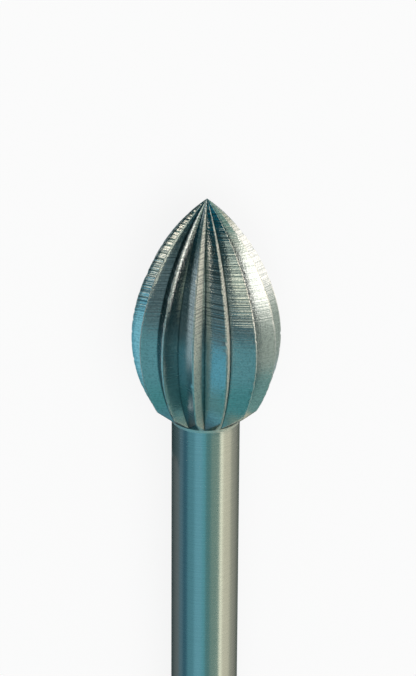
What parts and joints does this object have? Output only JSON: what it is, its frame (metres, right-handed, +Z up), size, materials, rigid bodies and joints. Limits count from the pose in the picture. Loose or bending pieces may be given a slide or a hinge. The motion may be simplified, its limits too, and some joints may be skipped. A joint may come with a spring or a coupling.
{
  "type": "bud bur",
  "caption": "Bud-shaped rotary cutting bur in one piece of bare steel, with sharp straight teeth that run from the heel to a fine point and a plain round shank.",
  "frame": {"origin": "on the surface that the bur lies on, under the middle of its length and width", "axes": "+Y from the shank's end towards the point, +Z up; the bur lies on two neighbouring teeth and the shank's end, so its own axis rises about two degrees towards the point"},
  "size_m": [0.005, 0.044, 0.005],
  "materials": {
    "steel": "bare ground steel, bright on the lands, with fine milling lines across the teeth"
  },
  "bodies": {
    "root": {"bur": "steel"}
  },
  "joints": []
}
